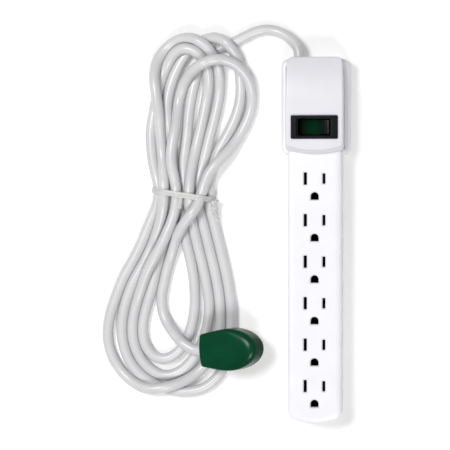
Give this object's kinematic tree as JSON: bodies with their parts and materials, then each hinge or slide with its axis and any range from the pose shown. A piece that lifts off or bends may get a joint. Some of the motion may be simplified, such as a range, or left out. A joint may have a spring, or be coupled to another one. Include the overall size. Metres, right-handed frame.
{
  "type": "power strip",
  "caption": "Slim grounded power strip lying on its back, with a raised hood over a lighted rocker switch, a row of outlets and a tied mains cord with a flat right-angle plug.",
  "frame": {"origin": "on the surface the strip lies on, under the middle of its housing", "axes": "+Y along the strip towards the end the cord leaves, +Z out of the outlet face, +X to the right when the earth holes are below the slots"},
  "size_m": [0.1726, 0.2736, 0.0347],
  "materials": {
    "white_shell": "satin moulded white plastic",
    "hood_shell": "satin moulded cool grey-white plastic",
    "black_plastic": "satin black moulded plastic",
    "green_lens": "dark green translucent gloss plastic",
    "plug_vinyl": "glossy dark green moulded vinyl",
    "cord_vinyl": "satin white vinyl jacket",
    "tie_paper": "creased off-white paper over a wire",
    "brass": "bright stamped brass",
    "screw_steel": "zinc plated steel",
    "lamp_glass": "clear glass envelope",
    "resistor": "lacquered",
    "black_wire": "black insulation",
    "white_wire": "white insulation",
    "green_wire": "green insulation"
  },
  "bodies": {
    "strip": {"rear_housing": "white_shell", "front_housing": "white_shell", "switch_hood": "hood_shell", "housing_screw_1": "screw_steel", "housing_screw_2": "screw_steel", "housing_screw_3": "screw_steel", "housing_screw_4": "screw_steel", "housing_screw_5": "screw_steel", "housing_screw_6": "screw_steel", "bus_bar_hot": "brass", "bus_bar_neutral": "brass", "bus_bar_earth": "brass", "switch_bezel": "black_plastic", "switch_base": "black_plastic", "terminal_load": "brass", "terminal_line": "brass", "terminal_lamp": "brass", "lamp_neon": "lamp_glass", "lamp_resistor": "resistor", "breaker_bimetal": "brass", "wire_line": "black_wire", "wire_neutral": "white_wire", "wire_ground": "green_wire", "wire_switched": "black_wire", "wire_lamp": "white_wire", "cord_bushing": "cord_vinyl", "cord_inner_end": "cord_vinyl", "cord_lead": "cord_vinyl", "cord_hank": "cord_vinyl", "cord_tail": "cord_vinyl", "cord_tie": "tie_paper", "plug_body": "plug_vinyl", "plug_blade_hot": "brass", "plug_blade_neutral": "brass", "plug_earth_pin": "brass"},
    "rocker": {"rocker": "green_lens", "rocker_plunger": "screw_steel"},
    "contact_lever": {"contact_lever": "brass"}
  },
  "joints": [
    {"name": "rocker_tilt", "type": "hinge", "parent": "strip", "child": "rocker", "pos_m": [0, 0.0771, 0.0265], "axis": [0, 1, 0], "range_deg": [-18, 0]},
    {"name": "contact_tilt", "type": "hinge", "parent": "strip", "child": "contact_lever", "pos_m": [0, 0.0771, 0.0173], "axis": [0, 1, 0], "range_deg": [0, 10.8]}
  ],
  "couplings": [
    {"joint": "contact_tilt", "follows": "rocker_tilt", "ratio": -0.6}
  ]
}
